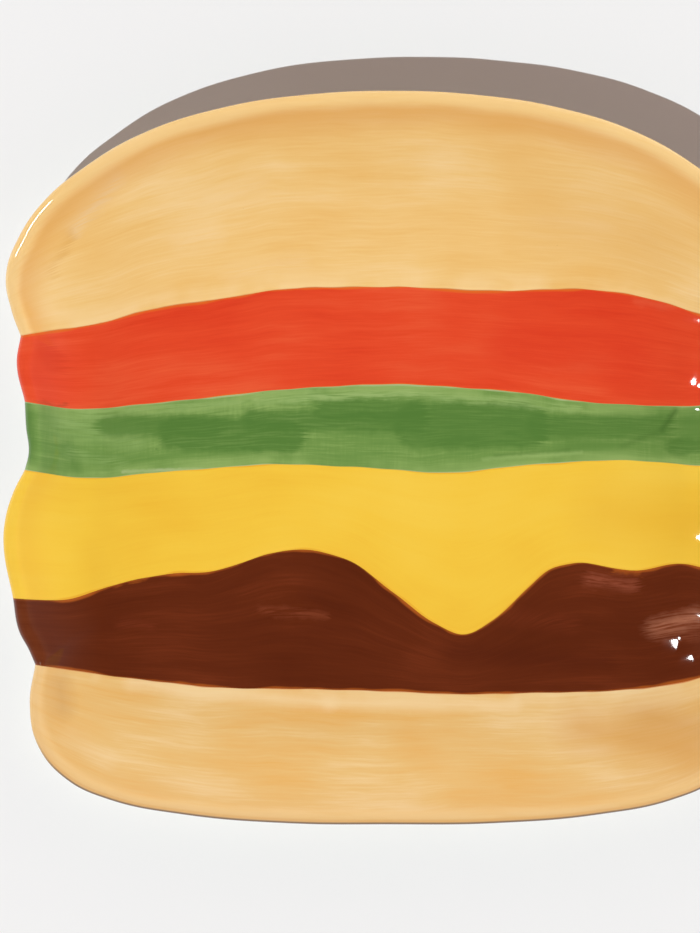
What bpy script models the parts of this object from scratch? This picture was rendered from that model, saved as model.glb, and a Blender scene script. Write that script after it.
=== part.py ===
"""A ceramic plate in the shape of a cheeseburger, fired in one piece.

Metres, +Z up, the top bun towards +Y. The origin is under the middle of the plate, level with
the foot ring that it rests on.
"""

import math

import bmesh
import bpy
import numpy as np
from mathutils import Vector, geometry

MM = 0.001

# The right half of the outline, in millimetres across and up from the middle of the plate. Each
# layer's edge runs down to the notch where the next layer begins, which is its last point.
TOP_BUN_EDGE = (
    (0.0, 118.4),
    (28.7, 117.0),
    (54.5, 112.9),
    (80.5, 104.5),
    (100.1, 92.9),
    (112.0, 82.8),
    (120.4, 70.6),
    (124.3, 58.5),
    (122.5, 47.5),
    (119.5, 39.2),
)
TOMATO_EDGE = ((120.8, 30.5), (118.2, 18.0))
LETTUCE_EDGE = ((117.8, 10.0), (116.9, 1.8), (118.2, -4.0))
CHEESE_EDGE = ((122.0, -11.5), (124.6, -20.5), (125.0, -29.0), (122.0, -45.4))
PATTY_EDGE = ((120.2, -55.6), (116.8, -62.2), (114.8, -66.8))
BOTTOM_BUN_EDGE = (
    (116.6, -79.6),
    (113.7, -93.4),
    (104.7, -103.9),
    (91.5, -110.2),
    (67.0, -115.2),
    (34.0, -118.0),
    (0.0, -118.4),
)
OUTLINE_STEP = 5.5 * MM  # between neighbouring points of a section

RIM_HEIGHT = 20.0 * MM
LIP_RADIUS = 2.8 * MM
LIP_LEAN = math.radians(43.0)  # of the slope where it meets the lip, from level
FOOT_HEIGHT = 2.0 * MM
FLOOR_THICKNESS = 5.0 * MM
FLOOR_HEIGHT = FOOT_HEIGHT + FLOOR_THICKNESS
WELL_INSET = 31.0 * MM  # from the outline in to the edge of the flat well
FOOT_INSET = 25.0 * MM  # from the outline in to the outer side of the foot ring
FOOT_WIDTH = 6.5 * MM
FOOT_EDGE = 0.8 * MM  # rounding of the foot ring's two edges

LIP_DEPTH = 8.0 * MM  # how far in a section keeps the outline's notches whole
WELL_REACH = 20.0 * MM  # length over which the well's edge evens the notches out
SLOPE_STEPS = 8
LIP_STEP = math.radians(23.0)  # the most that the round lip turns from one section to the next
WALL_STEPS = 6
WALL_FOOT_CLIMB = 0.2  # where the underside of the slope meets the foot ring

GLAZE_COLOUR = (0.80, 0.55, 0.25, 1.0)
GLAZE_ROUGHNESS = 0.15
CREASE = math.radians(40.0)  # between faces that are shaded as one round surface


def clear_scene():
    """Removes whatever the scene holds."""
    for old in list(bpy.data.objects):
        bpy.data.objects.remove(old, do_unlink=True)


def outline_knots():
    """The closed outline's points, clockwise from the top, each with whether it is a notch."""
    layers = (TOP_BUN_EDGE, TOMATO_EDGE, LETTUCE_EDGE, CHEESE_EDGE, PATTY_EDGE, BOTTOM_BUN_EDGE)
    right = []
    for layer in layers:
        right += [(x * MM, y * MM, False) for x, y in layer[:-1]]
        x, y = layer[-1]
        right.append((x * MM, y * MM, layer is not BOTTOM_BUN_EDGE))
    left = [(-x, y, notch) for x, y, notch in reversed(right[1:-1])]
    return right + left


def outline_points():
    """Points along the smooth outline, about a step apart, with every notch among them."""
    knots = outline_knots()
    curve = bpy.data.curves.new("outline", "CURVE")
    spline = curve.splines.new("BEZIER")
    spline.bezier_points.add(len(knots) - 1)
    spline.use_cyclic_u = True
    for point, (x, y, notch) in zip(spline.bezier_points, knots):
        point.co = (x, y, 0.0)
        kind = "VECTOR" if notch else "AUTO"
        point.handle_left_type = kind
        point.handle_right_type = kind
    points = []
    ends = list(spline.bezier_points)
    for start, end in zip(ends, ends[1:] + ends[:1]):
        steps = max(2, round((end.co - start.co).length / OUTLINE_STEP))
        stretch = geometry.interpolate_bezier(
            start.co, start.handle_right, end.handle_left, end.co, steps + 1
        )
        points += stretch[:-1]
    bpy.data.curves.remove(curve)
    return np.array([(point.x, point.y) for point in points])


def smoothed(points, reach):
    """A closed line's points, each averaged with those around it over the given length."""
    sides = np.linalg.norm(np.roll(points, -1, axis=0) - points, axis=1)
    along = np.concatenate(([0.0], np.cumsum(sides)[:-1]))
    apart = np.abs(along[:, None] - along[None, :])
    apart = np.minimum(apart, sides.sum() - apart)
    share = (sides + np.roll(sides, 1)) / 2
    weight = np.exp(-0.5 * (apart / reach) ** 2) * share
    return weight @ points / weight.sum(axis=1, keepdims=True)


def unit(vectors):
    """The same directions, each one long."""
    return vectors / np.linalg.norm(vectors, axis=1, keepdims=True)


class Plan:
    """The plate seen from above: its outline, and every section inside it."""

    def __init__(self):
        self.outline = outline_points()
        even = smoothed(self.outline, WELL_REACH)
        half = np.abs(self.outline).max(axis=0)
        self.well = even * (half - WELL_INSET) / np.abs(even).max(axis=0)
        inward = unit(self.well - self.outline)
        run = np.roll(even, -1, axis=0) - np.roll(even, 1, axis=0)
        square = unit(np.stack((run[:, 1], -run[:, 0]), axis=1))
        lean = (inward * square).sum(axis=1, keepdims=True)
        self.inward = inward / lean
        self.well_radius = half.mean() - WELL_INSET

    def section(self, inset):
        """The ring of points that lies the given distance in from the outline."""
        if inset <= LIP_DEPTH:
            return self.outline + self.inward * inset
        if inset <= WELL_INSET:
            share = (inset - LIP_DEPTH) / (WELL_INSET - LIP_DEPTH)
            start = self.outline + self.inward * LIP_DEPTH
            return start + (self.well - start) * share
        return self.well * (1 - (inset - WELL_INSET) / self.well_radius)


def lip_turns():
    """The turns round the lip: from the slope to its crest, its widest line and its underside."""
    stops = (LIP_LEAN, 0.0, -math.pi / 2, LIP_LEAN - math.pi)
    turns = [LIP_LEAN]
    for start, end in zip(stops, stops[1:]):
        steps = math.ceil((start - end) / LIP_STEP)
        turns += [start + (end - start) * (i + 1) / steps for i in range(steps)]
    return turns


def wall_profile():
    """The wall's cut face, as insets and heights from the well over the lip to the underside."""
    lip_inset = LIP_RADIUS * (1 + math.sin(LIP_LEAN))
    lip_height = RIM_HEIGHT - LIP_RADIUS * (1 - math.cos(LIP_LEAN))
    run = WELL_INSET - lip_inset
    rise = lip_height - FLOOR_HEIGHT
    power = math.tan(LIP_LEAN) * run / rise

    profile = []
    for i in range(SLOPE_STEPS):
        climb = i / SLOPE_STEPS
        profile.append((WELL_INSET - run * climb, FLOOR_HEIGHT + rise * climb**power))
    for turn in lip_turns():
        profile.append(
            (
                LIP_RADIUS * (1 + math.sin(turn)),
                RIM_HEIGHT - LIP_RADIUS * (1 - math.cos(turn)),
            )
        )
    for i in range(1, WALL_STEPS + 1):
        climb = 1 + (WALL_FOOT_CLIMB - 1) * i / WALL_STEPS
        lean = math.atan(power * rise / run * climb ** (power - 1))
        thickness = FLOOR_THICKNESS + (2 * LIP_RADIUS - FLOOR_THICKNESS) * climb
        profile.append(
            (
                WELL_INSET - run * climb - thickness * math.sin(lean),
                FLOOR_HEIGHT + rise * climb**power - thickness * math.cos(lean),
            )
        )
    foot_end = FOOT_INSET + FOOT_WIDTH
    profile += [
        (FOOT_INSET, FOOT_EDGE),
        (FOOT_INSET + FOOT_EDGE, 0.0),
        (foot_end - FOOT_EDGE, 0.0),
        (foot_end, FOOT_EDGE),
        (foot_end, FOOT_HEIGHT),
    ]
    return profile


def loft(name, sections):
    """One closed body through the sections, the first and the last of them filled in."""
    mesh = bpy.data.meshes.new(name)
    shape = bmesh.new()
    rings = [[shape.verts.new(point) for point in section] for section in sections]
    for ring, next_ring in zip(rings, rings[1:]):
        for i, corner in enumerate(ring):
            shape.faces.new((ring[i - 1], corner, next_ring[i], next_ring[i - 1]))
    shape.faces.new(rings[0])
    shape.faces.new(rings[-1])
    bmesh.ops.recalc_face_normals(shape, faces=shape.faces)
    shape.to_mesh(mesh)
    shape.free()
    mesh.shade_smooth()
    mesh.set_sharp_from_angle(angle=CREASE)
    return bpy.data.objects.new(name, mesh)


def glaze_material():
    """The golden glaze of the buns, which stands for the whole painted surface."""
    material = bpy.data.materials.new("glaze")
    material.use_nodes = True
    shader = material.node_tree.nodes["Principled BSDF"]
    shader.inputs["Base Color"].default_value = GLAZE_COLOUR
    shader.inputs["Roughness"].default_value = GLAZE_ROUGHNESS
    material.diffuse_color = GLAZE_COLOUR
    return material


def build_plate():
    """The plate: a flat well, a slope up to a rounded lip, and a foot ring underneath."""
    plan = Plan()
    sections = []
    for inset, height in wall_profile():
        sections.append([Vector((x, y, height)) for x, y in plan.section(inset)])
    plate = loft("plate", sections)
    plate.data.materials.append(glaze_material())
    collection = bpy.data.collections.new("cheeseburger_plate")
    bpy.context.scene.collection.children.link(collection)
    collection.objects.link(plate)


clear_scene()
build_plate()
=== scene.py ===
"""The looks of a cheeseburger-shaped plate: hand-painted glazes over a clay body.

Metres, +Z up, the top bun towards +Y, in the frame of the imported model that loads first.
"""

import logging
import math
from dataclasses import dataclass, field
from enum import Enum

import bpy
import numpy as np
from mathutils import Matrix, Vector, geometry


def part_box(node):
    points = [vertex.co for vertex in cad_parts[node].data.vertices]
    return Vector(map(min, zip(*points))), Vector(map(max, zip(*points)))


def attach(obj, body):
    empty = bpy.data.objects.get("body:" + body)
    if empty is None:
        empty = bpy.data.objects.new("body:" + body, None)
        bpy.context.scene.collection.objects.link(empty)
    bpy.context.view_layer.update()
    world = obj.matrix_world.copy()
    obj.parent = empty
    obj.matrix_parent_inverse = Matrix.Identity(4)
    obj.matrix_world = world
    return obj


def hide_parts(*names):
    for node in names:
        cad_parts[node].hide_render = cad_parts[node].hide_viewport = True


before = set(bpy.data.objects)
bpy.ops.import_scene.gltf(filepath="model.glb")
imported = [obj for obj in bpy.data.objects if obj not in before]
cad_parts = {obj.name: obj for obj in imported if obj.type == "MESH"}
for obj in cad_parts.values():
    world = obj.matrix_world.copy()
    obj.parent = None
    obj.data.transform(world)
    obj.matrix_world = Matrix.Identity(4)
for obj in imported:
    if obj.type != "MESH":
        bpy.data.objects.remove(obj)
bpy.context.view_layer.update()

LOG = logging.getLogger("burger_plate")
MM = 0.001

Point = tuple[float, float]
Colour = tuple[float, float, float, float]
Socket = bpy.types.NodeSocket


def paint(red: float, green: float, blue: float) -> Colour:
    """A paint as it looks on the fired plate, made linear.

    Args:
        red: The red of the look, from 0 to 255.
        green: The green of the look, from 0 to 255.
        blue: The blue of the look, from 0 to 255.

    Returns:
        The linear colour, opaque.
    """

    def linear(part: float) -> float:
        """One part of the colour, made linear."""
        share = part / 255
        return share / 12.92 if share <= 0.04045 else ((share + 0.055) / 1.055) ** 2.4

    return (linear(red), linear(green), linear(blue), 1.0)


class Coat(Enum):
    """What covers a stretch of the plate's surface."""

    PAINTED = "painted"
    WALL = "wall"
    BARE = "bare"
    BASE = "base"


@dataclass(frozen=True)
class Station:
    """One ring of the surface, from the middle of the well over the lip to the middle below."""

    inset: float
    height: float
    coat: Coat
    waver: float
    unrolled: float


@dataclass(frozen=True)
class Wave:
    """One long low wave of a hand-made surface."""

    length: float
    heading: float
    phase: float
    height: float

    def lift(self, places: np.ndarray) -> np.ndarray:
        """How far the wave lifts the surface.

        Args:
            places: The places seen from above, one a row.

        Returns:
            The lift at each place.
        """
        across = places @ np.array([math.cos(self.heading), math.sin(self.heading)])
        return self.height * np.sin(across * math.tau / self.length + self.phase)


@dataclass(frozen=True)
class Border:
    """A painted border across the plate, through its own points from left to right."""

    points: tuple[Point, ...]
    cuts: bool = True

    def level(self, across: np.ndarray) -> np.ndarray:
        """The border's height on the plate.

        Args:
            across: Places from left to right.

        Returns:
            The border's place between the plate's bottom and top at each of them.
        """
        knots = np.array(self.points) * MM
        slopes = np.gradient(knots[:, 1], knots[:, 0])
        across = np.clip(across, knots[0, 0], knots[-1, 0])
        left = np.clip(np.searchsorted(knots[:, 0], across) - 1, 0, len(knots) - 2)
        span = knots[left + 1, 0] - knots[left, 0]
        share = (across - knots[left, 0]) / span
        rise = share * share * (3 - 2 * share)
        start = share * (1 - share) ** 2 * span * slopes[left]
        end = share * share * (share - 1) * span * slopes[left + 1]
        smooth = knots[left, 1] * (1 - rise) + knots[left + 1, 1] * rise + start + end
        inside = np.minimum(across - knots[0, 0], knots[-1, 0] - across) / (20 * MM)
        hand = 0.07 * MM * np.sin(across / (2.3 * MM)) + 0.10 * MM * np.sin(across / (6.1 * MM) + 1)
        return smooth + hand * np.clip(inside, 0, 1)

    def steepness(self, across: np.ndarray) -> np.ndarray:
        """The border's slope at each place from left to right."""
        step = 0.5 * MM
        return (self.level(across + step) - self.level(across - step)) / (2 * step)


@dataclass(frozen=True)
class Arch:
    """The arc that the brush followed where a bun has no neighbour. Nothing is cut there."""

    spring: float
    rise: float
    half_width: float
    power: float
    cuts: bool = False

    def level(self, across: np.ndarray) -> np.ndarray:
        """The arc's height on the plate at each place from left to right."""
        share = np.clip(np.abs(across) / (self.half_width * MM), 0, 1) ** self.power
        return (self.spring + self.rise * np.sqrt(1 - share)) * MM

    def steepness(self, across: np.ndarray) -> np.ndarray:
        """Taken as level everywhere, as no edge is painted along the arc."""
        return np.zeros_like(across)


BUN_CROWN = Arch(spring=47.0, rise=71.4, half_width=130.0, power=2.3)
BUN_BASE = Arch(spring=-70.0, rise=-48.4, half_width=124.0, power=4.0)
BUN_TOMATO = Border(
    (
        (-119.5, 39.2),
        (-108.6, 41.1),
        (-97.3, 43.0),
        (-79.9, 47.5),
        (-54.1, 51.7),
        (-39.6, 54.0),
        (1.3, 55.3),
        (37.0, 54.0),
        (65.7, 54.5),
        (87.3, 50.7),
        (99.5, 46.9),
        (119.5, 39.2),
    )
)
TOMATO_LETTUCE = Border(
    (
        (-118.2, 18.0),
        (-104.4, 15.9),
        (-82.8, 17.1),
        (-39.6, 21.6),
        (-6.0, 23.7),
        (37.0, 21.6),
        (65.7, 17.9),
        (88.9, 16.7),
        (118.2, 18.0),
    )
)
LETTUCE_CHEESE = Border(
    (
        (-118.2, -4.0),
        (-101.5, -6.5),
        (-75.7, -4.9),
        (-39.6, -2.3),
        (-13.2, -2.9),
        (17.7, -4.9),
        (44.5, -2.5),
        (69.6, -0.9),
        (99.5, -2.5),
        (118.2, -4.0),
    )
)
CHEESE_PATTY = Border(
    (
        (-122.0, -45.4),
        (-104.4, -45.9),
        (-89.9, -41.3),
        (-72.2, -37.9),
        (-57.7, -36.8),
        (-39.6, -31.4),
        (-30.3, -29.9),
        (-21.6, -30.8),
        (-13.2, -33.5),
        (1.3, -44.3),
        (14.0, -53.6),
        (23.5, -57.3),
        (33.0, -53.0),
        (44.5, -42.5),
        (51.5, -36.4),
        (59.0, -34.3),
        (78.9, -36.8),
        (97.0, -34.6),
        (108.0, -38.5),
        (122.0, -45.4),
    )
)
PATTY_BUN = Border(
    (
        (-114.8, -66.8),
        (-89.9, -70.9),
        (-61.2, -74.2),
        (-13.2, -75.4),
        (22.9, -76.7),
        (51.5, -76.3),
        (91.2, -73.5),
        (114.8, -66.8),
    )
)


def work_on(piece: bpy.types.Object) -> None:
    """Makes a piece the only one that operators act on."""
    bpy.ops.object.select_all(action="DESELECT")
    piece.select_set(True)
    bpy.context.view_layer.objects.active = piece


def places_of(mesh: bpy.types.Mesh) -> np.ndarray:
    """Every vertex's place, one a row."""
    places = np.empty(len(mesh.vertices) * 3)
    mesh.vertices.foreach_get("co", places)
    return places.reshape(-1, 3)


def put_places(mesh: bpy.types.Mesh, places: np.ndarray) -> None:
    """Moves every vertex to its place, one a row."""
    mesh.vertices.foreach_set("co", places.ravel())
    mesh.update()


def note(mesh: bpy.types.Mesh, name: str, values: np.ndarray) -> None:
    """Keeps a value, or a vector, at every vertex.

    Args:
        mesh: The mesh that keeps them.
        name: The name that the materials read them by.
        values: One a vertex, each a number or three.
    """
    if values.ndim == 1:
        mesh.attributes.new(name, "FLOAT", "POINT").data.foreach_set("value", values)
    else:
        mesh.attributes.new(name, "FLOAT_VECTOR", "POINT").data.foreach_set("vector", values.ravel())


def noted(mesh: bpy.types.Mesh, name: str) -> np.ndarray:
    """The values kept at the vertices under a name, a number or three for each."""
    kept = mesh.attributes[name]
    if kept.data_type == "FLOAT":
        values = np.empty(len(mesh.vertices))
        kept.data.foreach_get("value", values)
        return values
    values = np.empty(len(mesh.vertices) * 3)
    kept.data.foreach_get("vector", values)
    return values.reshape(-1, 3)


def unit(vectors: np.ndarray) -> np.ndarray:
    """The same directions, each one long."""
    return vectors / np.maximum(np.linalg.norm(vectors, axis=1, keepdims=True), 1e-12)


@dataclass
class PlateForm:
    """The plate's whole surface, finer than the solid, which its pieces are cut from."""

    segments: int = 560
    well_rings: int = 40
    slope_rings: int = 26
    lip_rings: int = 22
    wall_rings: int = 14
    base_rings: int = 12
    lip_radius: float = 2.8 * MM
    lip_lean: float = math.radians(43.0)
    painted_turn: float = math.radians(-128.0)
    foot_height: float = 2.0 * MM
    floor_thickness: float = 5.0 * MM
    well_inset: float = 31.0 * MM
    foot_inset: float = 25.0 * MM
    foot_width: float = 6.5 * MM
    foot_edge: float = 0.8 * MM
    lip_depth: float = 8.0 * MM
    well_reach: float = 20.0 * MM
    wall_foot_climb: float = 0.2
    top_bun: tuple[Point, ...] = (
        (0.0, 118.4),
        (28.7, 117.0),
        (54.5, 112.9),
        (80.5, 104.5),
        (100.1, 92.9),
        (112.0, 82.8),
        (120.4, 70.6),
        (124.3, 58.5),
        (122.5, 47.5),
        (119.5, 39.2),
    )
    tomato: tuple[Point, ...] = ((120.8, 30.5), (118.2, 18.0))
    lettuce: tuple[Point, ...] = ((117.8, 10.0), (116.9, 1.8), (118.2, -4.0))
    cheese: tuple[Point, ...] = ((122.0, -11.5), (124.6, -20.5), (125.0, -29.0), (122.0, -45.4))
    patty: tuple[Point, ...] = ((120.2, -55.6), (116.8, -62.2), (114.8, -66.8))
    bottom_bun: tuple[Point, ...] = (
        (116.6, -79.6),
        (113.7, -93.4),
        (104.7, -103.9),
        (91.5, -110.2),
        (67.0, -115.2),
        (34.0, -118.0),
        (0.0, -118.4),
    )
    waves: tuple[Wave, ...] = (
        Wave(41 * MM, 0.4, 0.3, 0.08 * MM),
        Wave(31 * MM, 1.8, 2.1, 0.13 * MM),
        Wave(19 * MM, 1.45, 4.0, 0.12 * MM),
        Wave(23 * MM, 2.8, 1.2, 0.04 * MM),
        Wave(67 * MM, 1.4, 5.1, 0.10 * MM),
        Wave(12 * MM, 1.75, 0.6, 0.05 * MM),
    )
    stations: list[Station] = field(default_factory=list)

    def __post_init__(self) -> None:
        """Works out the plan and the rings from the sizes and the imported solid's box."""
        self.rim_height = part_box("plate")[1].z
        self.outline = self.outline_points()
        even = self.smoothed(self.outline)
        half = np.abs(self.outline).max(axis=0)
        self.well = even * (half - self.well_inset) / np.abs(even).max(axis=0)
        inward = unit(self.well - self.outline)
        run = np.roll(even, -1, axis=0) - np.roll(even, 1, axis=0)
        square = unit(np.stack((-run[:, 1], run[:, 0]), axis=1))
        self.inward = inward / (inward * square).sum(axis=1, keepdims=True)
        self.well_radius = half.mean() - self.well_inset
        self.stations = self.ring_stations()

    def outline_points(self) -> np.ndarray:
        """The outline, counter-clockwise, in even steps with every notch among them.

        Returns:
            One point a segment.
        """
        layers = (
            self.top_bun, self.tomato, self.lettuce, self.cheese, self.patty, self.bottom_bun
        )
        right = [(x, y, False) for layer in layers for x, y in layer]
        ends = {layer[-1] for layer in layers[:-1]}
        right = [(x * MM, y * MM, (x, y) in ends) for x, y, _ in right]
        knots = [(-x, y, notch) for x, y, notch in right[1:-1]] + right[::-1]
        curve = bpy.data.curves.new("outline", "CURVE")
        spline = curve.splines.new("BEZIER")
        spline.bezier_points.add(len(knots) - 1)
        spline.use_cyclic_u = True
        for point, (x, y, notch) in zip(spline.bezier_points, knots):
            point.co = (x, y, 0.0)
            point.handle_left_type = point.handle_right_type = "VECTOR" if notch else "AUTO"
        ends = list(spline.bezier_points)
        stretches: list[list[Vector]] = [[]]
        steps = 60
        for start, end, (_, _, notch) in zip(ends, ends[1:] + ends[:1], knots):
            if notch:
                stretches.append([])
            stretches[-1] += geometry.interpolate_bezier(
                start.co, start.handle_right, end.handle_left, end.co, steps + 1
            )[:-1]
        bpy.data.curves.remove(curve)
        first = stretches.pop(0)
        stretches[-1] += first
        return self.even_steps([np.array(stretch)[:, :2] for stretch in stretches])

    def even_steps(self, stretches: list[np.ndarray]) -> np.ndarray:
        """Points in even steps along stretches that each start at a notch.

        Args:
            stretches: The closed outline, as fine points from each notch up to the next.

        Returns:
            As many points in all as there are segments.
        """
        closed = [
            np.vstack((stretch, following[:1]))
            for stretch, following in zip(stretches, stretches[1:] + stretches[:1])
        ]
        lengths = [np.linalg.norm(np.diff(line, axis=0), axis=1) for line in closed]
        ends = np.cumsum([sides.sum() for sides in lengths])
        counts = np.diff(np.round(ends / ends[-1] * self.segments).astype(int), prepend=0)
        points = []
        for line, sides, count in zip(closed, lengths, counts):
            along = np.concatenate(([0.0], np.cumsum(sides)))
            wanted = np.arange(count) / count * along[-1]
            points.append(np.stack([np.interp(wanted, along, line[:, i]) for i in (0, 1)], axis=1))
        return np.vstack(points)

    def smoothed(self, points: np.ndarray) -> np.ndarray:
        """A closed line's points, each averaged with those around it.

        Args:
            points: The line, one point a row.

        Returns:
            The evened line, with as many points.
        """
        sides = np.linalg.norm(np.roll(points, -1, axis=0) - points, axis=1)
        along = np.concatenate(([0.0], np.cumsum(sides)[:-1]))
        apart = np.abs(along[:, None] - along[None, :])
        apart = np.minimum(apart, sides.sum() - apart)
        weight = np.exp(-0.5 * (apart / self.well_reach) ** 2) * (sides + np.roll(sides, 1)) / 2
        return weight @ points / weight.sum(axis=1, keepdims=True)

    def section(self, inset: float) -> np.ndarray:
        """The ring of points that lies a distance in from the outline, or out where it is less.

        Args:
            inset: The distance.

        Returns:
            One point a segment, seen from above.
        """
        if inset <= self.lip_depth:
            return self.outline + self.inward * inset
        if inset <= self.well_inset:
            share = (inset - self.lip_depth) / (self.well_inset - self.lip_depth)
            start = self.outline + self.inward * self.lip_depth
            return start + (self.well - start) * share
        return self.well * (1 - (inset - self.well_inset) / self.well_radius)

    def ring_stations(self) -> list[Station]:
        """Every ring of the surface, in order from the middle of the well.

        Returns:
            The rings, the first and the last of them a single point.
        """
        floor = self.foot_height + self.floor_thickness
        lip_inset = self.lip_radius * (1 + math.sin(self.lip_lean))
        lip_height = self.rim_height - self.lip_radius * (1 - math.cos(self.lip_lean))
        run, rise = self.well_inset - lip_inset, lip_height - floor
        power = math.tan(self.lip_lean) * run / rise
        middle = self.well_inset + self.well_radius
        rows: list[tuple[float, float, Coat, float]] = []
        for i in range(self.well_rings):
            share = i / self.well_rings
            rows.append((middle - self.well_radius * share, floor, Coat.PAINTED, 0.25 * share))
        for i in range(self.slope_rings):
            climb = i / self.slope_rings
            height = floor + rise * climb**power
            waver = 0.25 + 0.75 * min(1.0, 2.5 * climb)
            rows.append((self.well_inset - run * climb, height, Coat.PAINTED, waver))
        last_turn = self.lip_lean - math.pi
        for i in range(self.lip_rings + 1):
            turn = self.lip_lean + (last_turn - self.lip_lean) * i / self.lip_rings
            coat = Coat.PAINTED if turn > self.painted_turn else Coat.WALL
            height = self.rim_height - self.lip_radius * (1 - math.cos(turn))
            rows.append((self.lip_radius * (1 + math.sin(turn)), height, coat, 1.0))
        for i in range(1, self.wall_rings + 1):
            climb = 1 + (self.wall_foot_climb - 1) * i / self.wall_rings
            lean = math.atan(power * rise / run * climb ** (power - 1))
            thick = self.floor_thickness + (2 * self.lip_radius - self.floor_thickness) * climb
            inset = self.well_inset - run * climb - thick * math.sin(lean)
            height = floor + rise * climb**power - thick * math.cos(lean)
            rows.append((inset, height, Coat.WALL, 0.8 * (1 - i / self.wall_rings)))
        rows += [(*place, Coat.BARE, 0.0) for place in self.foot_places()]
        foot_end = self.foot_inset + self.foot_width
        for i in range(self.base_rings + 1):
            share = i / self.base_rings
            inset = foot_end + (middle - foot_end) * share
            rows.append((inset, self.foot_height, Coat.BASE, 0.0))
        stations, unrolled, before = [], middle, (middle, floor)
        for inset, height, coat, waver in rows:
            past_crest = unrolled <= self.lip_radius
            unrolled = unrolled - math.dist((inset, height), before) if past_crest else inset
            before = (inset, height)
            stations.append(Station(inset, height, coat, waver, unrolled))
        return stations

    def foot_places(self) -> list[Point]:
        """The foot ring's rounded section, from its outer side to its inner side."""
        corners = 4
        end = self.foot_inset + self.foot_width
        places = [(self.foot_inset, self.foot_height - 0.2 * MM)]
        for i in range(corners + 1):
            turn = math.pi / 2 * i / corners
            shift = self.foot_edge * (1 - math.cos(turn))
            drop = self.foot_edge * (1 - math.sin(turn))
            places.append((self.foot_inset + shift, drop))
        for i in range(corners + 1):
            turn = math.pi / 2 * (1 - i / corners)
            shift = self.foot_edge * (1 - math.cos(turn))
            drop = self.foot_edge * (1 - math.sin(turn))
            places.append((end - shift, drop))
        return places

    def build(self) -> bpy.types.Object:
        """The whole closed surface, which each piece is cut from.

        Returns:
            The surface, with its rings, flat places and round normals kept at its vertices.
        """
        rings = len(self.stations) - 1
        bpy.ops.object.select_all(action="DESELECT")
        bpy.ops.mesh.primitive_uv_sphere_add(
            segments=self.segments, ring_count=rings, radius=1.0, calc_uvs=False
        )
        whole = bpy.context.object
        whole.name = "whole_surface"
        ball = places_of(whole.data)
        ring = np.round(np.arccos(np.clip(ball[:, 2], -1, 1)) / math.pi * rings).astype(int)
        turn = np.arctan2(ball[:, 1], ball[:, 0]) / math.tau * self.segments
        segment = np.round(turn).astype(int) % self.segments
        plan = np.array([self.section(station.inset) for station in self.stations])
        flat = np.array([self.section(station.unrolled) for station in self.stations])
        heights = np.array([station.height for station in self.stations])
        waver = np.array([station.waver for station in self.stations])
        places = np.column_stack((plan[ring, segment], heights[ring]))
        lift = sum(wave.lift(places[:, :2]) for wave in self.waves)
        places[:, 2] += lift * waver[ring]
        put_places(whole.data, places)
        normals = np.empty(len(places) * 3)
        whole.data.vertex_normals.foreach_get("vector", normals)
        note(whole.data, "ring", ring.astype(float))
        note(whole.data, "round_normal", normals.reshape(-1, 3))
        flat_places = np.column_stack((flat[ring, segment], np.zeros(len(ring))))
        note(whole.data, "flat", flat_places)
        insets = np.array([station.unrolled for station in self.stations])
        note(whole.data, "inset", insets[ring] / MM)
        return whole

    def rings_of(self, coat: Coat) -> tuple[int, int]:
        """The first and last ring of the surface under a coat.

        Args:
            coat: What covers it.

        Returns:
            The two rings' numbers, the last one shared with what comes next.
        """
        under = [i for i, station in enumerate(self.stations) if station.coat is coat]
        return under[0], min(under[-1] + 1, len(self.stations) - 1)


def sheet(whole: bpy.types.Object, name: str, rings: tuple[int, int]) -> bpy.types.Object:
    """A stretch of the whole surface, as a sheet of its own.

    Args:
        whole: The whole surface.
        name: The sheet's name.
        rings: Its first and last ring.

    Returns:
        The sheet.
    """
    piece = whole.copy()
    piece.data = whole.data.copy()
    piece.name = piece.data.name = name
    bpy.context.scene.collection.objects.link(piece)
    ring = noted(piece.data, "ring")
    outside = (ring < rings[0] - 0.5) | (ring > rings[1] + 0.5)
    work_on(piece)
    piece.data.vertices.foreach_set("select", outside)
    bpy.ops.object.mode_set(mode="EDIT")
    bpy.ops.mesh.select_mode(type="VERT")
    bpy.ops.mesh.select_all(action="DESELECT")
    bpy.ops.object.mode_set(mode="OBJECT")
    piece.data.vertices.foreach_set("select", outside)
    bpy.ops.object.mode_set(mode="EDIT")
    bpy.ops.mesh.delete(type="VERT")
    bpy.ops.object.mode_set(mode="OBJECT")
    return piece


def cut_along(piece: bpy.types.Object, border: Border, keep_above: bool) -> None:
    """Cuts a sheet along a border and takes the other side away.

    Args:
        piece: The sheet.
        border: The border.
        keep_above: Whether the side towards the top bun stays.
    """
    places = places_of(piece.data)
    places[:, 1] -= border.level(places[:, 0])
    put_places(piece.data, places)
    work_on(piece)
    bpy.ops.object.mode_set(mode="EDIT")
    bpy.ops.mesh.select_all(action="SELECT")
    bpy.ops.mesh.bisect(
        plane_co=(0, 0, 0),
        plane_no=(0, 1, 0),
        clear_inner=keep_above,
        clear_outer=not keep_above,
        threshold=0.02 * MM,
    )
    bpy.ops.object.mode_set(mode="OBJECT")
    places = places_of(piece.data)
    places[:, 1] += border.level(places[:, 0])
    put_places(piece.data, places)


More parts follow.
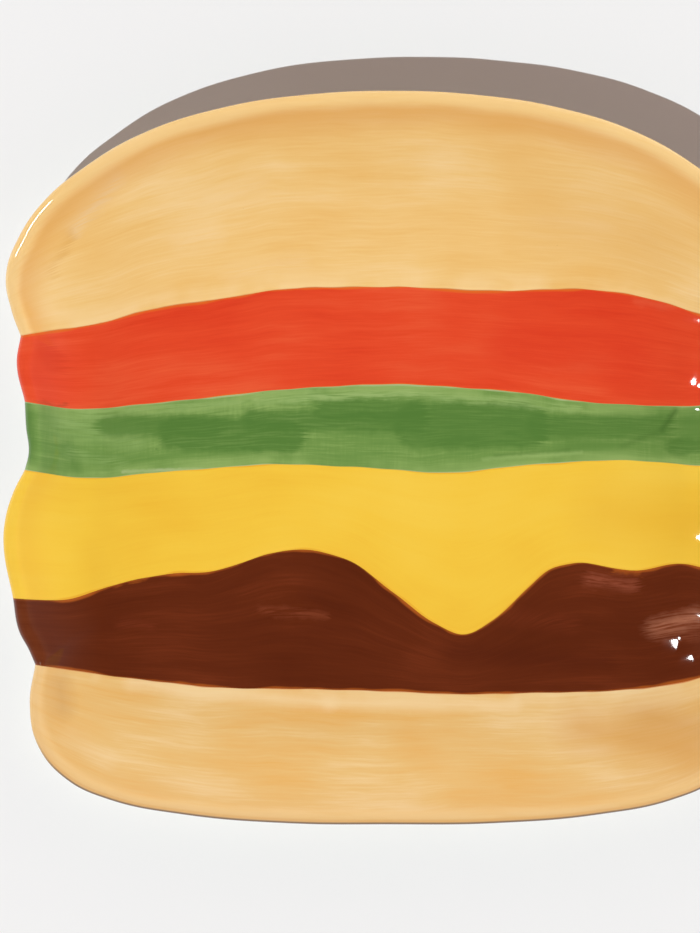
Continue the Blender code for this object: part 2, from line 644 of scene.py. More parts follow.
def thicken(piece: bpy.types.Object, depth: float) -> int:
    """Gives a sheet its thickness, inwards, with the surface's own round normals outside.

    Args:
        piece: The sheet.
        depth: The thickness.

    Returns:
        How many faces the sheet had, which stay the first ones.
    """
    faces = len(piece.data.polygons)
    work_on(piece)
    wall = piece.modifiers.new("thickness", "SOLIDIFY")
    wall.thickness = depth
    wall.offset = -1.0
    bpy.ops.object.modifier_apply(modifier=wall.name)
    mesh = piece.data
    mesh.shade_smooth()
    corner_vertices = np.empty(len(mesh.loops), dtype=int)
    mesh.loops.foreach_get("vertex_index", corner_vertices)
    sizes = np.empty(len(mesh.polygons), dtype=int)
    mesh.polygons.foreach_get("loop_total", sizes)
    face_of = np.repeat(np.arange(len(sizes)), sizes)
    flat = np.empty(len(mesh.polygons) * 3)
    mesh.polygons.foreach_get("normal", flat)
    normals = flat.reshape(-1, 3)[face_of]
    outer = unit(noted(mesh, "round_normal"))[corner_vertices]
    normals[face_of < faces] = outer[face_of < faces]
    inner = (face_of >= faces) & (face_of < 2 * faces)
    normals[inner] = -outer[inner]
    mesh.normals_split_custom_set(normals)
    return faces


def lay_flat(piece: bpy.types.Object, faces: int) -> None:
    """Lays a thickened sheet out flat, for a picture of its own colours.

    Args:
        piece: The thickened sheet.
        faces: How many faces the sheet had before it was thickened.
    """
    mesh = piece.data
    flat = noted(mesh, "flat")[:, :2]
    flat = (flat - flat.min(axis=0)) / np.ptp(flat, axis=0)
    corner_vertices = np.empty(len(mesh.loops), dtype=int)
    mesh.loops.foreach_get("vertex_index", corner_vertices)
    sizes = np.empty(len(mesh.polygons), dtype=int)
    mesh.polygons.foreach_get("loop_total", sizes)
    starts = np.concatenate(([0], np.cumsum(sizes)[:-1]))
    face_of = np.repeat(np.arange(len(sizes)), sizes)
    margin, inner_top, outer_bottom = 0.004, 0.12, 0.135
    spots = flat[corner_vertices]
    spots[:, 0] = margin + (1 - 2 * margin) * spots[:, 0]
    outer = face_of < faces
    inner = (face_of >= faces) & (face_of < 2 * faces)
    edge_top = 0.03
    spots[outer, 1] = outer_bottom + (1 - margin - outer_bottom) * spots[outer, 1]
    spots[inner, 1] = edge_top + margin + (inner_top - edge_top - margin) * spots[inner, 1]
    edges = np.arange(2 * faces, len(sizes))
    cells = np.array(((0.1, 0.1), (0.9, 0.1), (0.9, 0.9), (0.1, 0.9)))
    for number, face in enumerate(edges):
        for corner in range(sizes[face]):
            u, v = cells[corner % 4]
            spots[starts[face] + corner] = ((number + u) / len(edges), margin + edge_top * 0.8 * v)
    mesh.uv_layers.new(name="OFBake").data.foreach_set("uv", spots.ravel())


class GlazeTree:
    """A material's nodes, with one method for each kind of step."""

    def __init__(self, name: str) -> None:
        """Starts a material.

        Args:
            name: Its name.
        """
        self.material = bpy.data.materials.new(name)
        self.material.use_nodes = True
        self.nodes = self.material.node_tree.nodes
        self.links = self.material.node_tree.links
        self.shader = self.nodes["Principled BSDF"]

    def feed(self, socket: Socket, value: object) -> None:
        """Sets a socket's value, or links another socket to it."""
        if isinstance(value, bpy.types.NodeSocket):
            self.links.new(value, socket)
        else:
            socket.default_value = value

    def step(self, kind: str, values: dict[int | str, object], **settings: object) -> bpy.types.Node:
        """Adds a node.

        Args:
            kind: The node's type.
            values: What each of its input sockets gets.
            **settings: The node's own settings.

        Returns:
            The node.
        """
        node = self.nodes.new(kind)
        for name, setting in settings.items():
            setattr(node, name, setting)
        for name, value in values.items():
            self.feed(node.inputs[name], value)
        return node

    def math(self, operation: str, *values: object) -> Socket:
        """A sum on numbers."""
        return self.step("ShaderNodeMath", dict(enumerate(values)), operation=operation).outputs[0]

    def vector(self, operation: str, *values: object) -> Socket:
        """A sum on vectors."""
        node = self.step("ShaderNodeVectorMath", dict(enumerate(values)), operation=operation)
        return node.outputs[0]

    def dot(self, first: Socket, second: tuple[float, float, float]) -> Socket:
        """How far a vector reaches along another."""
        node = self.step("ShaderNodeVectorMath", {0: first, 1: second}, operation="DOT_PRODUCT")
        return node.outputs["Value"]

    def fade(self, value: Socket, start: float | Socket, end: float | Socket) -> Socket:
        """Rises softly from 0 to 1 as the value goes from start to end, which may be less."""
        return self.step(
            "ShaderNodeMapRange",
            {"Value": value, "From Min": start, "From Max": end},
            interpolation_type="SMOOTHSTEP",
        ).outputs[0]

    def ramp(self, value: Socket, start: float, end: float) -> Socket:
        """Goes evenly from 0 to 1 as the value goes from start to end, which may be less."""
        node = self.step("ShaderNodeMapRange", {"Value": value, "From Min": start, "From Max": end})
        return node.outputs[0]

    def mix(self, share: object, first: object, second: object) -> Socket:
        """Goes from the first colour to the second with the share."""
        factor, first_socket, second_socket, result = 0, 6, 7, 2
        return self.step(
            "ShaderNodeMix",
            {factor: share, first_socket: first, second_socket: second},
            data_type="RGBA",
        ).outputs[result]

    def noise(self, vector: Socket, scale: float, detail: float, roughness: float = 0.5) -> Socket:
        """A cloudy number, and its node's colour where a vector is wanted."""
        return self.step(
            "ShaderNodeTexNoise",
            {"Vector": vector, "Scale": scale, "Detail": detail, "Roughness": roughness},
        ).outputs[0]

    def stretched(self, vector: Socket, scale: tuple[float, float, float]) -> Socket:
        """A vector with each part scaled."""
        return self.vector("MULTIPLY", vector, scale)

    def shaken(self, vector: Socket, scale: float, reach: float) -> Socket:
        """A place shifted this way and that, so that what is drawn there has an uneven edge."""
        cloud = self.step(
            "ShaderNodeTexNoise", {"Vector": vector, "Scale": scale, "Detail": 3.0}
        ).outputs[1]
        shift = self.vector("SUBTRACT", cloud, (0.5, 0.5, 0.5))
        return self.vector("ADD", vector, self.vector("MULTIPLY", shift, (reach, reach, 0.0)))

    def millimetres(self) -> Socket:
        """The place on the plate, in millimetres."""
        place = self.step("ShaderNodeTexCoord", {}).outputs["Object"]
        return self.vector("MULTIPLY", place, (1 / MM, 1 / MM, 1 / MM))

    def kept(self, name: str) -> bpy.types.Node:
        """The values kept at the vertices under a name."""
        return self.step("ShaderNodeAttribute", {}, attribute_name=name)

    def specks(self, place: Socket, spacing: float, radius: float, share: float) -> Socket:
        """Small dark dots, thinly spread.

        Args:
            place: The place in millimetres.
            spacing: How far apart they could lie, in millimetres.
            radius: Their radius in millimetres.
            share: How many of them there are, from 0 to 1.

        Returns:
            1 on a dot, and 0 elsewhere.
        """
        cells = self.step("ShaderNodeTexVoronoi", {"Vector": place, "Scale": 1 / spacing})
        chosen = self.step("ShaderNodeSeparateColor", {"Color": cells.outputs["Color"]}).outputs[0]
        dot = self.fade(cells.outputs["Distance"], radius / spacing, 0.4 * radius / spacing)
        return self.math("MULTIPLY", dot, self.math("LESS_THAN", chosen, share))


def dab_group() -> bpy.types.NodeTree:
    """The nodes that draw one stroke of a loaded brush, with round ends.

    Returns:
        The group, made once and used for every stroke.
    """
    found = bpy.data.node_groups.get("dab")
    if found:
        return found
    group = bpy.data.node_groups.new("dab", "ShaderNodeTree")
    for name, kind in (
        ("Place", "NodeSocketVector"),
        ("Start", "NodeSocketVector"),
        ("End", "NodeSocketVector"),
        ("Radius", "NodeSocketFloat"),
        ("Softness", "NodeSocketFloat"),
    ):
        group.interface.new_socket(name, in_out="INPUT", socket_type=kind)
    group.interface.new_socket("Cover", in_out="OUTPUT", socket_type="NodeSocketFloat")
    given = group.nodes.new("NodeGroupInput").outputs
    result = group.nodes.new("NodeGroupOutput").inputs[0]

    def sum_of(kind: str, operation: str, *values: Socket) -> bpy.types.Node:
        """One sum on the linked values."""
        node = group.nodes.new(kind)
        node.operation = operation
        for socket, value in zip(node.inputs, values):
            group.links.new(value, socket)
        return node

    level = sum_of("ShaderNodeVectorMath", "MULTIPLY", given["Place"])
    level.inputs[1].default_value = (1.0, 1.0, 0.0)
    away = sum_of("ShaderNodeVectorMath", "SUBTRACT", level.outputs[0], given["Start"])
    reach = sum_of("ShaderNodeVectorMath", "SUBTRACT", given["End"], given["Start"])
    along = sum_of("ShaderNodeVectorMath", "DOT_PRODUCT", away.outputs[0], reach.outputs[0])
    square = sum_of("ShaderNodeVectorMath", "DOT_PRODUCT", reach.outputs[0], reach.outputs[0])
    share = sum_of("ShaderNodeMath", "DIVIDE", along.outputs["Value"], square.outputs["Value"])
    share.use_clamp = True
    nearest = sum_of("ShaderNodeVectorMath", "SCALE", reach.outputs[0])
    group.links.new(share.outputs[0], nearest.inputs["Scale"])
    gap = sum_of("ShaderNodeVectorMath", "DISTANCE", away.outputs[0], nearest.outputs[0])
    past = sum_of("ShaderNodeMath", "SUBTRACT", gap.outputs["Value"], given["Radius"])
    soft = sum_of("ShaderNodeMath", "DIVIDE", past.outputs[0], given["Softness"])
    cover = sum_of("ShaderNodeMath", "MULTIPLY_ADD", soft.outputs[0])
    cover.inputs[1].default_value = -1.0
    cover.inputs[2].default_value = 0.5
    cover.use_clamp = True
    group.links.new(cover.outputs[0], result)
    return group


class Brush(Enum):
    """The brush that a stroke is painted with."""

    BROAD = "broad"
    DRY = "dry"
    FINE = "fine"


@dataclass(frozen=True)
class Dab:
    """One stroke of the brush over a band, in millimetres on the plate."""

    start: Point
    end: Point
    radius: float
    colour: Colour
    cover: float = 0.7
    softness: float = 1.6
    brush: Brush = Brush.BROAD


@dataclass(frozen=True)
class PaintedGlaze:
    """A band's paint under its clear glaze, in millimetres and colours."""

    name: str
    slot: str
    main: Colour
    light: Colour
    deep: Colour
    lip: Colour
    # The darker band inside the lip: partly pooled glaze, partly painted shade.
    pool_and_shade: Colour
    edge: Colour
    patch_weight: float = 1.0
    streak_weight: float = 1.0
    bristle_weight: float = 0.4
    cross_weight: float = 0.0
    lip_share: float = 0.5
    pool_and_shade_share: float = 0.5
    upper_edge: float = 0.6
    lower_edge: float = 0.6
    # Painted shade for the outer lip along the bottom edge, or none.
    bottom_edge_shade: Colour | None = None
    cream_share: float = 0.0
    cream_reach: float = 9.0
    streak_scale: tuple[float, float, float] = (0.018, 0.26, 0.0)
    bristle_scale: tuple[float, float, float] = (0.07, 1.6, 0.0)
    speck: Colour = (0.10, 0.05, 0.02, 1.0)
    speck_share: float = 0.1
    dabs: tuple[Dab, ...] = ()
    roughness: float = 0.05

    def material(self) -> bpy.types.Material:
        """The glaze's material.

        Returns:
            The material, ready for a piece that keeps its brush and edge places.
        """
        tree = GlazeTree(self.name)
        place = tree.millimetres()
        brush = tree.shaken(tree.kept("brush").outputs["Vector"], 0.014, 8.0)
        edges = tree.step("ShaderNodeSeparateXYZ", {0: tree.kept("edges").outputs["Vector"]})
        inset, from_upper, from_lower = edges.outputs
        streak = tree.noise(tree.stretched(brush, self.streak_scale), 1.0, 5.0, 0.62)
        bristle = tree.noise(tree.stretched(brush, self.bristle_scale), 1.0, 3.0, 0.6)
        patch = tree.noise(tree.stretched(place, (0.6, 1.0, 0.0)), 0.03, 2.0)

        cross = tree.noise(tree.stretched(place, (1.1, 0.09, 0.0)), 1.0, 3.0, 0.6)

        colour = self.brushed(tree, streak, bristle, patch, cross)
        dragged = tree.step(
            "ShaderNodeCombineXYZ",
            {
                0: tree.math("MULTIPLY_ADD", bristle, 11.0, -5.5),
                1: tree.math("MULTIPLY_ADD", tree.noise(place, 0.25, 2.0), 3.0, -1.5),
            },
        ).outputs[0]
        dragged = tree.vector("ADD", place, dragged)
        worn = tree.fade(bristle, 0.62, 0.43)
        brushes = {
            Brush.BROAD: (dragged, tree.math("MULTIPLY_ADD", worn, 0.25, 0.72)),
            Brush.DRY: (dragged, worn),
            Brush.FINE: (tree.shaken(place, 0.5, 0.9), 1.0),
        }
        for dab in self.dabs:
            drawn, left = brushes[dab.brush]
            cover = tree.math("MULTIPLY", self.stroke(tree, dab, drawn), dab.cover)
            colour = tree.mix(tree.math("MULTIPLY", cover, left), colour, dab.colour)
        colour = self.bordered(tree, colour, from_upper, from_lower, streak, place)
        colour = self.rimmed(tree, colour, inset, place, streak)
        dots = tree.specks(place, 6.0, 0.16, self.speck_share)
        colour = tree.mix(tree.math("MULTIPLY", dots, 0.7), colour, self.speck)
        tree.feed(tree.shader.inputs["Base Color"], colour)
        tree.shader.inputs["Roughness"].default_value = self.roughness
        tree.shader.inputs["IOR"].default_value = 1.5
        self.pitted(tree, place, bristle, dots)
        return tree.material

    def brushed(
        self, tree: GlazeTree, streak: Socket, bristle: Socket, patch: Socket, cross: Socket
    ) -> Socket:
        """The paint as the brush left it: thin and thick patches, streaks and bristle marks."""
        tone: object = 0.5
        for cloud, weight in (
            (patch, self.patch_weight),
            (streak, self.streak_weight),
            (bristle, self.bristle_weight),
            (cross, self.cross_weight),
        ):
            tone = tree.math("ADD", tone, tree.math("MULTIPLY_ADD", cloud, weight, -0.5 * weight))
        colour = tree.mix(tree.ramp(tone, 0.5, 0.78), self.main, self.light)
        return tree.mix(tree.ramp(tone, 0.5, 0.22), colour, self.deep)

    def stroke(self, tree: GlazeTree, dab: Dab, place: Socket) -> Socket:
        """Where one stroke covers the band, from 0 to 1."""
        node = tree.step("ShaderNodeGroup", {}, node_tree=dab_group())
        values = {
            "Place": place,
            "Start": (*dab.start, 0.0),
            "End": (*dab.end, 0.0),
            "Radius": dab.radius,
            "Softness": dab.softness,
        }
        for name, value in values.items():
            tree.feed(node.inputs[name], value)
        return node.outputs[0]

    def bordered(
        self,
        tree: GlazeTree,
        colour: Socket,
        from_upper: Socket,
        from_lower: Socket,
        streak: Socket,
        place: Socket,
    ) -> Socket:
        """The borders, where thin paint overlaps the band beside it.

        Args:
            tree: The material.
            colour: The colour so far.
            from_upper: The distance from the upper border, in millimetres.
            from_lower: The distance from the lower border, in millimetres.
            streak: The long streaks.
            place: The place in millimetres.

        Returns:
            The colour with its borders.
        """
        if self.cream_share:
            near = tree.math("MINIMUM", from_upper, from_lower)
            cream = tree.fade(near, self.cream_reach, 0.5)
            uneven = tree.fade(tree.noise(place, 0.045, 3.0), 0.35, 0.6)
            cream = tree.math("MULTIPLY", cream, uneven)
            cream = tree.math("MULTIPLY", cream, tree.math("ADD", streak, 0.35))
            colour = tree.mix(tree.math("MULTIPLY", cream, self.cream_share), colour, self.light)
        uneven = tree.fade(tree.noise(place, 0.06, 2.0), 0.3, 0.7)
        for distance, width in ((from_upper, self.upper_edge), (from_lower, self.lower_edge)):
            if width:
                reach = tree.math("MULTIPLY", tree.math("ADD", uneven, 0.3), width)
                thin = tree.fade(distance, reach, tree.math("MULTIPLY", reach, 0.35))
                share = tree.math("MULTIPLY_ADD", uneven, 0.6, 0.3)
                colour = tree.mix(tree.math("MULTIPLY", thin, share), colour, self.edge)
        return colour

    def rimmed(
        self, tree: GlazeTree, colour: Socket, inset: Socket, place: Socket, streak: Socket
    ) -> Socket:
        """The lip: paler over the crest, a darker band just inside it that is partly pooled glaze
        and partly painted shade, and painted shade on the outer lip along the bottom edge.

        Args:
            tree: The material.
            colour: The colour so far.
            inset: The distance in from the outline, in millimetres.
            place: The place in millimetres.
            streak: The long streaks.

        Returns:
            The colour with its lip.
        """
        # A darker band just inside the lip: partly pooled glaze, partly painted shade.
        wander = tree.noise(place, 0.05, 2.0)
        shifted = tree.math("ADD", inset, tree.math("MULTIPLY", wander, 3.0))
        pooled_glaze_and_shade = tree.math(
            "MULTIPLY", tree.fade(shifted, 4.0, 8.0), tree.fade(shifted, 17.0, 7.0)
        )
        # Painted shade: the band is made stronger towards the top and left, on the slopes that face
        # away from the light.
        turned = tree.dot(place, (-0.0035, 0.007, 0.0))
        side = tree.fade(turned, -0.9, 0.9)
        side = tree.math("ADD", tree.math("MULTIPLY", side, 0.8), 0.35)
        pooled_glaze_and_shade = tree.math("MULTIPLY", tree.math("MULTIPLY", pooled_glaze_and_shade, side), self.pool_and_shade_share)
        colour = tree.mix(pooled_glaze_and_shade, colour, self.pool_and_shade)
        thin = tree.math("MULTIPLY", tree.fade(inset, 6.6, 2.8), tree.fade(inset, -0.4, 1.6))
        thin = tree.math("MULTIPLY", thin, tree.math("ADD", tree.fade(streak, 0.3, 0.6), 0.6))
        colour = tree.mix(tree.math("MULTIPLY", thin, self.lip_share), colour, self.lip)
        if not self.bottom_edge_shade:
            return colour
        # Painted shade along the plate's bottom edge: a darker band on the outer side of the lip and
        # a dark line at its very edge, where the lip turns away from the light.
        low = tree.fade(tree.dot(place, (0.0, 1.0, 0.0)), -86.0, -106.0)
        outer = tree.math("MULTIPLY", tree.fade(inset, 2.2, 1.2), low)
        colour = tree.mix(tree.math("MULTIPLY", outer, 0.5), colour, self.pool_and_shade)
        outer = tree.math("MULTIPLY", tree.fade(inset, 0.9, 0.1), low)
        return tree.mix(tree.math("MULTIPLY", outer, 0.9), colour, self.bottom_edge_shade)

    def pitted(self, tree: GlazeTree, place: Socket, bristle: Socket, dots: Socket) -> None:
        """Gives the clear glaze its slight swell, brush relief and pinholes."""
        swell = tree.math("MULTIPLY", tree.noise(place, 0.08, 0.0), 0.09 * MM)
        relief = tree.math("MULTIPLY", bristle, 0.001 * MM)
        holes = tree.math("MULTIPLY", dots, -0.05 * MM)
        height = tree.math("ADD", tree.math("ADD", swell, relief), holes)
        bump = tree.step("ShaderNodeBump", {"Height": height, "Distance": 1.0, "Strength": 1.0})
        tree.feed(tree.shader.inputs["Normal"], bump.outputs[0])


CREAM = paint(249, 222, 172)
LETTUCE_DARK = paint(84, 126, 56)
LETTUCE_PALE = paint(160, 190, 118)
LETTUCE_LINE = paint(70, 106, 46)

TOP_BUN_GLAZE = PaintedGlaze(
    name="top_bun_glaze",
    slot="bun_glaze",
    main=paint(243, 203, 130),
    light=paint(248, 216, 156),
    deep=paint(238, 190, 110),
    lip=paint(243, 206, 140),
    pool_and_shade=paint(229, 171, 92),
    edge=paint(214, 132, 66),
    cream_share=0.8,
    upper_edge=0.0,
    lower_edge=0.35,
    speck=paint(150, 95, 45),
    patch_weight=0.9,
    streak_weight=0.6,
    bristle_weight=0.4,
    pool_and_shade_share=0.6,
    lip_share=0.5,
    dabs=(
        Dab((-104.0, 76.0), (-90.0, 93.0), 3.0, CREAM, 0.15, 7.0),
        Dab((-102.5, 74.0), (-89.0, 90.0), 1.6, paint(240, 220, 184), 0.55, 5.0, Brush.DRY),
        Dab((-110.0, 60.0), (-104.0, 72.0), 1.0, paint(222, 166, 88), 0.5, 3.5, Brush.DRY),
        Dab((-112.0, 48.0), (-104.0, 45.0), 3.0, CREAM, 0.35, 6.0),
        Dab((-68.0, 70.0), (-58.0, 72.0), 2.5, CREAM, 0.45, 6.0, Brush.DRY),
        Dab((-52.0, 60.0), (-30.0, 63.0), 2.5, CREAM, 0.35, 6.0, Brush.DRY),
        Dab((-60.0, 84.0), (-44.0, 88.0), 2.5, CREAM, 0.35, 6.0, Brush.DRY),
        Dab((52.0, 76.0), (84.0, 70.0), 8.0, paint(230, 180, 100), 0.45, 22.0, Brush.FINE),
    ),
)
TOMATO_GLAZE = PaintedGlaze(
    name="tomato_glaze",
    slot="tomato_glaze",
    main=paint(230, 77, 43),
    light=paint(236, 96, 58),
    deep=paint(221, 63, 35),
    lip=paint(236, 92, 58),
    pool_and_shade=paint(214, 62, 34),
    edge=paint(226, 110, 40),
    lip_share=0.15,
    pool_and_shade_share=0.25,
    upper_edge=0.9,
    lower_edge=0.4,
    speck=paint(150, 40, 20),
    patch_weight=0.9,
    streak_weight=0.75,
    bristle_weight=0.4,
    dabs=(
        Dab((-112.0, 36.0), (-108.0, 30.0), 3.0, paint(213, 60, 34), 0.5, 3.0),
        Dab((-115.0, 17.8), (-106.0, 16.7), 0.4, paint(110, 62, 32), 0.5, 1.4, Brush.DRY),
        Dab((38.0, 37.0), (78.0, 33.0), 7.0, paint(221, 62, 36), 0.5, 6.0),
        Dab((79.0, 50.5), (92.0, 48.5), 0.6, paint(240, 130, 90), 0.3, 2.2),
    ),
)
LETTUCE_GLAZE = PaintedGlaze(
    name="lettuce_glaze",
    slot="lettuce_glaze",
    main=paint(115, 152, 77),
    light=paint(150, 180, 104),
    deep=paint(98, 138, 66),
    lip=paint(120, 158, 88),
    pool_and_shade=paint(88, 128, 60),
    edge=paint(176, 196, 140),
    lip_share=0.1,
    pool_and_shade_share=0.4,
    upper_edge=0.6,
    lower_edge=0.3,
    speck=paint(60, 90, 40),
    patch_weight=0.5,
    streak_weight=0.8,
    bristle_weight=0.45,
    cream_share=0.8,
    cream_reach=5.0,
    cross_weight=0.2,
    dabs=(
        Dab((-117.5, 17.0), (-117.0, -4.0), 2.4, LETTUCE_DARK, 0.85, 3.0, Brush.FINE),
        Dab((-104.5, 4.0), (-102.5, -3.0), 1.6, LETTUCE_DARK, 0.6, 4.0, Brush.FINE),
        Dab((-108.0, 12.0), (-84.0, 6.0), 3.0, LETTUCE_PALE, 0.5, 7.0, Brush.DRY),
        Dab((-104.0, 1.5), (-88.0, -2.5), 1.2, LETTUCE_PALE, 0.5, 4.0, Brush.DRY),
        Dab((-92.0, 10.5), (-58.0, 9.5), 3.6, LETTUCE_DARK, 0.75, 2.6),
        Dab((-70.0, 7.9), (-33.5, 7.2), 5.6, LETTUCE_DARK, 0.9, 2.0),
        Dab((-45.0, 12.1), (9.0, 11.6), 3.4, LETTUCE_DARK, 0.85, 2.0),
        Dab((-22.0, 15.6), (9.0, 15.0), 3.2, LETTUCE_DARK, 0.8, 1.8),
        Dab((8.5, 10.5), (44.0, 10.5), 7.4, LETTUCE_DARK, 0.85, 2.0),
        Dab((48.0, 10.1), (88.0, 10.1), 3.8, LETTUCE_DARK, 0.85, 2.2),
        Dab((92.3, 15.2), (88.2, 9.0), 0.8, LETTUCE_LINE, 0.7, 1.4, Brush.FINE),
        Dab((88.2, 9.0), (75.0, 3.6), 0.6, LETTUCE_LINE, 0.4, 1.8, Brush.FINE),
        Dab((92.0, 3.7), (103.0, 3.9), 2.8, LETTUCE_DARK, 0.9, 1.8),
        Dab((98.0, 11.0), (114.0, 9.0), 5.0, LETTUCE_DARK, 0.5, 5.0, Brush.FINE),
        Dab((60.0, 5.0), (104.0, 8.0), 5.0, paint(92, 132, 60), 0.45, 6.0, Brush.FINE),
        Dab((-44.0, 19.2), (6.0, 21.4), 1.6, LETTUCE_PALE, 0.8, 2.2, Brush.DRY),
        Dab((6.0, 21.0), (60.0, 16.2), 1.4, LETTUCE_PALE, 0.6, 2.0, Brush.DRY),
        Dab((-100.0, 14.6), (-50.0, 17.8), 1.4, LETTUCE_PALE, 0.5, 2.0, Brush.DRY),
        Dab((30.0, -0.6), (62.0, 1.6), 0.4, LETTUCE_PALE, 0.5, 1.2, Brush.FINE),
        Dab((34.0, 0.8), (58.0, 2.6), 0.3, LETTUCE_LINE, 0.35, 1.0, Brush.FINE),
        Dab((-87.0, -4.6), (-61.5, -3.7), 0.5, paint(205, 215, 175), 0.6, 0.8, Brush.FINE),
        Dab((-76.2, 2.7), (-75.8, 2.7), 0.15, LETTUCE_LINE, 0.6, 0.3, Brush.FINE),
    ),
)
CHEESE_GLAZE = PaintedGlaze(
    name="cheese_glaze",
    slot="cheese_glaze",
    main=paint(246, 203, 67),
    light=paint(249, 211, 80),
    deep=paint(240, 189, 56),
    lip=paint(244, 206, 88),
    pool_and_shade=paint(230, 172, 50),
    edge=paint(236, 176, 52),
    lip_share=0.15,
    pool_and_shade_share=0.3,
    upper_edge=0.5,
    lower_edge=0.8,
    speck=paint(170, 110, 30),
    patch_weight=0.9,
    streak_weight=0.3,
    bristle_weight=0.15,
    dabs=(
        Dab((70.0, -18.0), (112.0, -24.0), 9.0, paint(238, 188, 58), 0.6, 16.0, Brush.FINE),
        Dab((-98.0, -30.0), (-96.0, -40.0), 2.0, paint(234, 182, 56), 0.35, 9.0, Brush.FINE),
    ),
)
PATTY_GLAZE = PaintedGlaze(
    name="patty_glaze",
    slot="patty_glaze",
    main=paint(99, 42, 19),
    light=paint(124, 56, 29),
    deep=paint(86, 34, 14),
    lip=paint(116, 60, 34),
    pool_and_shade=paint(84, 34, 14),
    edge=paint(178, 92, 34),
    lip_share=0.35,
    pool_and_shade_share=0.25,
    upper_edge=1.1,
    lower_edge=1.1,
    speck=paint(170, 110, 70),
    patch_weight=0.6,
    streak_weight=0.5,
    bristle_weight=0.28,
    dabs=(
        Dab((-90.0, -41.5), (-80.0, -39.2), 0.7, paint(178, 92, 34), 0.6, 1.2),
        Dab((73.0, -37.0), (81.0, -37.4), 0.8, paint(178, 92, 34), 0.6, 1.2),
        Dab((64.0, -39.5), (78.0, -41.5), 1.4, paint(152, 80, 56), 0.9, 4.0, Brush.DRY),
        Dab((86.0, -55.6), (99.0, -52.0), 1.8, paint(146, 80, 54), 0.6, 5.0, Brush.FINE),
        Dab((85.0, -55.6), (98.9, -51.7), 2.2, paint(184, 122, 94), 0.7, 5.0, Brush.DRY),
        Dab((88.0, -58.5), (99.0, -57.5), 1.2, paint(150, 84, 58), 0.5, 3.0, Brush.DRY),
        Dab((38.0, -51.5), (58.0, -54.0), 2.4, paint(122, 54, 30), 0.6, 4.0, Brush.DRY),
        Dab((-42.0, -49.5), (-22.0, -51.5), 0.8, paint(150, 78, 50), 0.55, 3.0, Brush.DRY),
        Dab((-88.0, -54.0), (-78.0, -54.5), 1.0, paint(132, 60, 36), 0.5, 3.0, Brush.DRY),
        Dab((20.0, -63.0), (70.0, -66.0), 2.5, paint(84, 33, 16), 0.6, 6.0),
        Dab((44.0, -58.0), (80.0, -61.0), 5.0, paint(88, 36, 15), 0.5, 12.0, Brush.FINE),
    ),
)
BOTTOM_BUN_GLAZE = PaintedGlaze(
    name="bottom_bun_glaze",
    slot="bun_glaze",
    main=paint(235, 195, 126),
    light=paint(244, 216, 163),
    deep=paint(233, 181, 102),
    lip=paint(238, 200, 140),
    pool_and_shade=paint(222, 168, 98),
    edge=paint(206, 120, 60),
    cream_share=0.7,
    cream_reach=8.0,
    upper_edge=0.4,
    lower_edge=0.0,
    speck=paint(150, 95, 45),
    patch_weight=0.95,
    streak_weight=0.7,
    bristle_weight=0.35,
    pool_and_shade_share=0.4,
    lip_share=0.6,
    # Painted shade line on the outer lip along the bottom edge.
    bottom_edge_shade=paint(104, 78, 56),
    dabs=(
        Dab((62.0, -88.0), (96.0, -95.0), 5.0, paint(222, 168, 94), 0.85, 15.0, Brush.FINE),
        Dab((84.0, -84.0), (106.0, -90.0), 5.0, paint(214, 158, 86), 0.75, 18.0, Brush.FINE),
        Dab((6.0, -90.0), (14.0, -100.0), 3.0, paint(233, 180, 102), 0.4, 9.0, Brush.FINE),
        # Painted shade: a darker patch on the left inner slope, which faces away from the light.
        Dab((-107.0, -73.0), (-106.0, -81.0), 1.0, paint(200, 152, 96), 0.65, 9.0, Brush.FINE),
        Dab((-60.0, -99.0), (-30.0, -104.0), 2.5, paint(234, 184, 106), 0.5, 7.0),
        Dab((-104.0, -90.0), (-92.0, -98.0), 1.5, CREAM, 0.35, 7.0),
        Dab((-84.0, -73.0), (-20.0, -79.5), 2.0, CREAM, 0.55, 4.5, Brush.FINE),
        Dab((-20.0, -79.5), (40.0, -80.5), 1.6, CREAM, 0.5, 4.0, Brush.FINE),
    ),
)


@dataclass(frozen=True)
class PlainFinish:
    """The unpainted glaze of the underside, or the bare clay of the foot, with fine grain."""

    name: str
    slot: str
    main: Colour
    spotted: Colour
    roughness: float
    grain_scale: float
    grain_depth: float

    def material(self) -> bpy.types.Material:
        """The finish's material.

        Returns:
            The material.
        """
        tree = GlazeTree(self.name)
        place = tree.millimetres()
        cloud = tree.noise(place, 0.06, 4.0, 0.6)
        colour = tree.mix(tree.fade(cloud, 0.4, 0.7), self.main, self.spotted)
        dots = tree.specks(place, 3.5, 0.14, 0.25)
        colour = tree.mix(tree.math("MULTIPLY", dots, 0.5), colour, paint(120, 92, 62))
        tree.feed(tree.shader.inputs["Base Color"], colour)
        tree.shader.inputs["Roughness"].default_value = self.roughness
        grain = tree.noise(place, self.grain_scale, 3.0)
        height = tree.math("MULTIPLY", grain, self.grain_depth)
        bump = tree.step("ShaderNodeBump", {"Height": height, "Distance": 1.0, "Strength": 1.0})
        tree.feed(tree.shader.inputs["Normal"], bump.outputs[0])
        return tree.material


PLAIN_GLAZE = PlainFinish(
    name="plain_glaze",
    slot="plain_glaze",
    main=paint(238, 228, 208),
    spotted=paint(230, 214, 186),
    roughness=0.12,
    grain_scale=0.25,
    grain_depth=0.04 * MM,
)
BARE_CLAY = PlainFinish(
    name="bare_clay",
    slot="bare_clay",
    main=paint(220, 206, 184),
    spotted=paint(208, 190, 164),
    roughness=0.85,
    grain_scale=1.6,
    grain_depth=0.05 * MM,
)


